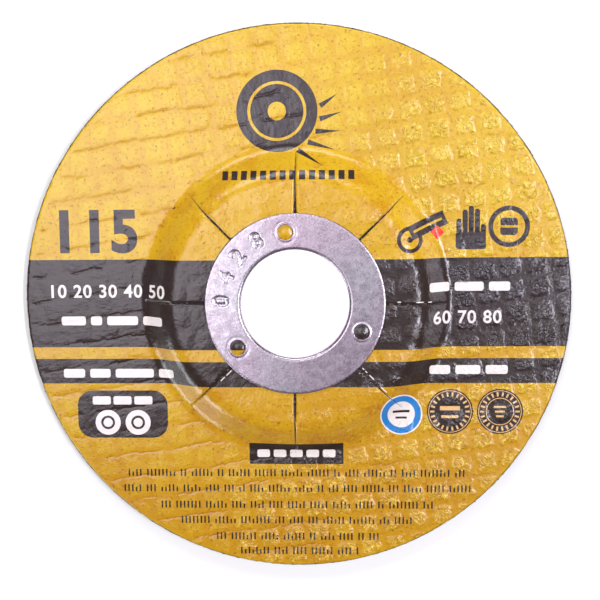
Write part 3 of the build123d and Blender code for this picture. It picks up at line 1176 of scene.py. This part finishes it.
class WHEEL_OT_net(bpy.types.Operator):
    """Weaves the glass net and drapes it over the rear"""

    bl_idname = "wheel.net"
    bl_label = "Rear glass net"

    def execute(self, context):
        wheel = sizes()
        depth = wheel.body_thickness + wheel.net_thickness / 2
        radii = spread(wheel.disc_bore, wheel.rim_radius - 0.6 * MM, 160)
        line = [(r, surface_height(wheel, r, depth, rear=True)) for r in radii]
        form = lathe("drape_form", line, 360, closed=False)
        yarn = glass_yarn()
        tree = yarn_tree()
        shared = {
            "Form": form,
            "Inner reach": wheel.disc_bore + 1.1 * MM,
            "Outer reach": wheel.rim_radius - 1.4 * MM,
            "Width": wheel.yarn_width * 1.02,
            "Height": 0.2 * MM,
            "Weave": 0.045 * MM,
            "Step": 0.66 * MM,
            "Material": yarn,
        }
        weft = {
            "Pitch": wheel.weft_pitch,
            "Shift": wheel.weft_shift + wheel.weft_pitch / 2,
            "Crossing pitch": wheel.warp_pitch,
            "Crossing shift": wheel.warp_shift + wheel.warp_pitch / 2,
            "Turn": wheel.net_turn,
            "Side": 1.0,
            "Seed": 1,
        }
        warp = {
            "Pitch": wheel.warp_pitch,
            "Shift": -wheel.warp_shift - wheel.warp_pitch / 2,
            "Crossing pitch": wheel.weft_pitch,
            "Crossing shift": wheel.weft_shift + wheel.weft_pitch / 2,
            "Turn": wheel.net_turn + math.pi / 2,
            "Side": -1.0,
            "Seed": 2,
        }
        layers = [grow("yarns", tree, shared | layer) for layer in (weft, warp)]
        net = layers[0]
        with bpy.context.temp_override(active_object=net, object=net, selected_editable_objects=layers):
            bpy.ops.object.join()
        net.name = "rear_glass_net"
        deepest = wheel.body_thickness + wheel.net_thickness
        for vertex in net.data.vertices:
            r = math.hypot(vertex.co.x, vertex.co.y)
            vertex.co.z = max(vertex.co.z, surface_height(wheel, r, deepest, rear=True))
        bpy.data.objects.remove(form)
        finish_piece(net, yarn, "rear_net")
        return {"FINISHED"}


class WHEEL_OT_label(bpy.types.Operator):
    """Cuts, prints and presses the paper label"""

    bl_idname = "wheel.label"
    bl_label = "Paper label"

    def execute(self, context):
        finish_piece(label_piece(), printed_paper(), "paper_label")
        return {"FINISHED"}


class WHEEL_OT_ring(bpy.types.Operator):
    """Presses the steel ring with its lip, collar, key holes and stamped number"""

    bl_idname = "wheel.ring"
    bl_label = "Hub ring"

    def execute(self, context):
        finish_piece(ring_piece(), tinplate(), "hub_ring")
        return {"FINISHED"}


def ring_top():
    """Height of the plate's face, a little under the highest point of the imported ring."""
    return RING_HIGH.z - 0.05 * MM


def ring_folds(wheel):
    """Radii in the flat blank where the lip's bend starts, where the collar starts and where it ends."""
    plate = wheel.bore_radius + wheel.ring_lip
    collar = plate - math.pi / 2 * wheel.ring_lip
    return plate, collar, collar - (ring_top() - wheel.ring_lip - RING_LOW.z)


def ring_point(wheel, x, y, lift):
    """Wraps a point of the flat blank over the plate, round the lip and down the collar."""
    plate, collar, _ = ring_folds(wheel)
    top = ring_top()
    flat_radius, turn = math.hypot(x, y), math.atan2(y, x)
    if flat_radius >= plate:
        r = flat_radius
        edge = smooth((r - wheel.ring_radius + 0.3 * MM) / (0.3 * MM))
        z = top - 0.12 * MM * edge**3 + lift
    elif flat_radius > collar:
        bent = (plate - flat_radius) / wheel.ring_lip
        r = plate - wheel.ring_lip * math.sin(bent)
        z = top - wheel.ring_lip * (1 - math.cos(bent)) + lift * math.cos(bent)
    else:
        r = wheel.bore_radius
        z = top - wheel.ring_lip - (collar - flat_radius)
    return (r * math.cos(turn), r * math.sin(turn), z)


def stamped_digits():
    """Outlines of plain digits, stamped along the ring's left side with their heads outwards."""
    base, first, step = 13.6, 178, 19
    outlines = []
    for k, digit in enumerate("0428"):
        stamp = Print()
        stamp.digits("stamp", digit, (0, 0), 3.3, weight=0.018)
        wide = max(x for _, outline in stamp.shapes for x, _ in outline)
        angle = math.radians(first - step * k)
        c, n = math.cos(angle - math.pi / 2), math.sin(angle - math.pi / 2)
        for _, outline in stamp.shapes:
            placed = [(x - wide / 2, y + base) for x, y in outline]
            outlines.append([((x * c - y * n) * MM, (x * n + y * c) * MM) for x, y in placed])
    return outlines


def ring_blank(wheel, keys):
    """The ring's flat blank: places, triangles, and how far each point belongs to a stamped digit."""
    draw = random.Random(5)
    plate, collar, end = ring_folds(wheel)
    blank = Blank()
    blank.cut(circle(wheel.ring_radius, 420))
    for key in keys:
        blank.cut(circle(wheel.key_hole, 56, key))
    blank.cut(circle(end, 240))
    holes = range(1, len(blank.outlines))
    for outline in stamped_digits():
        blank.cut(outline)

    # Loose points over the plate, and rows along its edge, its bend, its collar and the holes
    step, shake = 0.27 * MM, 0.02
    for _, _, x, y in triangle_grid(wheel.ring_radius, step):
        clear = all(math.hypot(x - kx, y - ky) > wheel.key_hole + 0.5 * step for kx, ky in keys)
        if plate + 0.3 * step < math.hypot(x, y) < wheel.ring_radius - 0.35 * MM and clear:
            x += draw.uniform(-shake, shake) * step
            y += draw.uniform(-shake, shake) * step
            blank.points.append((x, y))
    radii = [wheel.ring_radius - edge * MM for edge in (0.06, 0.13, 0.22)]
    for r in radii + spread(plate, collar, 8) + spread(collar, end, 5)[1:-1]:
        blank.points += circle(r, 300)
    for key in keys:
        for margin in (0.1, 0.22, 0.36):
            blank.points += circle(wheel.key_hole + margin * MM, 56, key)

    flat, triangles, _ = blank.triangles()
    kept, around = [], {}
    for triangle, origin in triangles:
        if 0 in origin and not any(i in holes for i in origin):
            kept.append(triangle)
            for i in triangle:
                around.setdefault(i, []).append(max(origin) > holes[-1])
    used, faces = used_points(kept)
    return [(*flat[i], sum(around[i]) / len(around[i])) for i in used], faces


def ring_piece():
    """The ring: a blank with three pierced holes, wrapped over its lip and given its thickness."""
    wheel = sizes()
    keys = key_centres(wheel)
    blank, faces = ring_blank(wheel, keys)
    vertices = []
    for x, y, stamped in blank:
        place = Vector((x, y, 3.0)) / MM
        lift = 0.018 * noise.noise(place / 3.0) + 0.004 * noise.noise(place / 0.8) - 0.11 * stamped
        # Piercing leaves a low burr round each hole, and a shallow dish outside it
        for kx, ky in keys:
            off = (math.hypot(x - kx, y - ky) - wheel.key_hole) / MM
            if off < 1.2:
                lift += 0.05 * math.exp(-(((off - 0.16) / 0.16) ** 2))
                lift -= 0.03 * math.exp(-(((off - 0.55) / 0.2) ** 2))
        vertices.append(ring_point(wheel, x, y, min(lift, 0.05) * MM))
    ring = new_object("pressed_ring", vertices, faces)
    wall = ring.modifiers.new("sheet", "SOLIDIFY")
    wall.thickness = wheel.ring_sheet
    wall.offset = -1
    solid = evaluated_mesh(ring)
    ring.modifiers.clear()
    ring.data = solid
    return ring


# Stage


def facing(place, aim, up):
    """The turn of a lamp or camera at a place that looks at a point, with its Y side towards up."""
    z = (Vector(place) - Vector(aim)).normalized()
    x = Vector(up).cross(z).normalized()
    return Matrix((x, z.cross(x), z)).transposed().to_euler()


def softbox(name, azimuth, lean, far, size, strength, tint):
    """A rectangular lamp that faces the wheel. Strength is its radiance: 1 is white paper in full light."""
    light = bpy.data.lights.new(name, "AREA")
    light.shape = "RECTANGLE"
    light.size, light.size_y = size
    light.energy = strength * math.pi * size[0] * size[1]
    light.color = tint
    lamp = bpy.data.objects.new(name, light)
    bpy.context.scene.collection.objects.link(lamp)
    turn, tilt = math.radians(azimuth), math.radians(lean)
    flat = far * math.sin(tilt)
    lamp.location = (flat * math.cos(turn), flat * math.sin(turn), far * math.cos(tilt))
    lamp.rotation_euler = facing(lamp.location, (0, 0, 0), (lamp.location.x, lamp.location.y, 0))


def stage_piece(name, outline, paint):
    """One flat face of the stage, which the export leaves out."""
    piece = new_object(name, outline, [tuple(range(len(outline)))])
    piece.data.materials.append(paint)


def studio_world():
    """Soft light from all round, which the camera sees as plain white."""
    world = bpy.data.worlds.new("Studio")
    world.use_nodes = True
    tree = world.node_tree
    tree.nodes.clear()
    seen = add(tree, "ShaderNodeLightPath").outputs["Is Camera Ray"]
    soft = add(tree, "ShaderNodeBackground", {"Color": linear("#EBE2F2"), "Strength": 0.30})
    white = add(tree, "ShaderNodeBackground", {"Color": linear("#FFFFFF"), "Strength": 1.0})
    add(tree, "ShaderNodeOutputWorld", (add(tree, "ShaderNodeMixShader", (seen, soft, white)),))
    return world


def photo_camera():
    """The camera of the photograph, nearly straight above the label."""
    camera = bpy.data.cameras.new("camera")
    camera.sensor_width = 36
    camera.lens = 58.42
    camera.clip_start = 10 * MM
    holder = bpy.data.objects.new("camera", camera)
    bpy.context.scene.collection.objects.link(holder)
    eye, target = Vector((9.236, 21.762, 206.467)) * MM, Vector((0.851, 0.359, 2.76)) * MM
    holder.location = eye
    holder.rotation_euler = facing(eye, target, (0, 1, 0))
    return holder


class WHEEL_OT_stage(bpy.types.Operator):
    """Sets up the floor, the soft lamps and the camera"""

    bl_idname = "wheel.stage"
    bl_label = "Stage"

    def execute(self, context):
        reach, floor_height, window_height, window_radius = 2.0, -0.05 * MM, -0.03 * MM, 12.5 * MM
        square = [(-reach, -reach), (reach, -reach), (reach, reach), (-reach, reach)]
        stage_piece("floor", [(x, y, floor_height) for x, y in square], floor_paint())
        window = [(x, y, window_height) for x, y in circle(window_radius, 64)]
        stage_piece("lit_window", window, lit_board())
        # Name, azimuth and lean from the bore's axis in degrees, distance and size in metres, strength
        # and tint. The main softbox stands high at the upper left, so its reflection veils the label there.
        lamps = (
            ("main softbox", 176, 18.5, 0.9, (0.44, 0.38), 3.9, (1, 0.95, 1.05)),
            ("rear softbox", 92, 11.0, 0.9, (0.44, 0.26), 1.9, (1, 0.96, 1)),
            ("right strip", 2, 30.0, 0.9, (0.50, 0.07), 52.0, (0.98, 0.95, 1.08)),
            ("right fill", -8, 20.5, 0.9, (0.56, 0.32), 0.8, (0.98, 0.96, 1.08)),
            ("low right strip", 8, 84.0, 0.9, (1.0, 0.17), 3.8, (0.98, 0.92, 1.02)),
            ("low left strip", 222, 78.0, 0.9, (0.56, 0.22), 8.0, (0.92, 0.96, 1)),
            ("top strip", 98, 54.0, 0.30, (0.30, 0.08), 7.0, (1, 0.97, 1)),
        )
        for lamp in lamps:
            softbox(*lamp)
        context.scene.world = studio_world()
        context.scene.camera = photo_camera()
        context.scene.view_settings.view_transform = "Standard"
        return {"FINISHED"}


STEPS = (WHEEL_OT_abrasive, WHEEL_OT_net, WHEEL_OT_label, WHEEL_OT_ring, WHEEL_OT_stage)


class WHEEL_PT_panel(bpy.types.Panel):
    bl_idname = "WHEEL_PT_panel"
    bl_label = "Grinding wheel"
    bl_space_type = "VIEW_3D"
    bl_region_type = "UI"
    bl_category = "Wheel"

    def draw(self, context):
        for group in (context.scene.wheel_sizes, context.scene.wheel_colours):
            box = self.layout.box()
            for name in group.bl_rna.properties.keys():
                if name not in ("rna_type", "name"):
                    box.prop(group, name)
        for step in STEPS:
            self.layout.operator(step.bl_idname)


CLASSES = (WheelSizes, WheelColours, *STEPS, WHEEL_PT_panel)


def register():
    for item in CLASSES:
        bpy.utils.register_class(item)
    bpy.types.Scene.wheel_sizes = bpy.props.PointerProperty(type=WheelSizes)
    bpy.types.Scene.wheel_colours = bpy.props.PointerProperty(type=WheelColours)


def unregister():
    del bpy.types.Scene.wheel_colours
    del bpy.types.Scene.wheel_sizes
    for item in reversed(CLASSES):
        bpy.utils.unregister_class(item)


def main():
    register()
    bpy.ops.wheel.abrasive()
    bpy.ops.wheel.net()
    bpy.ops.wheel.label()
    bpy.ops.wheel.ring()
    bpy.ops.wheel.stage()


if __name__ == "__main__":
    main()
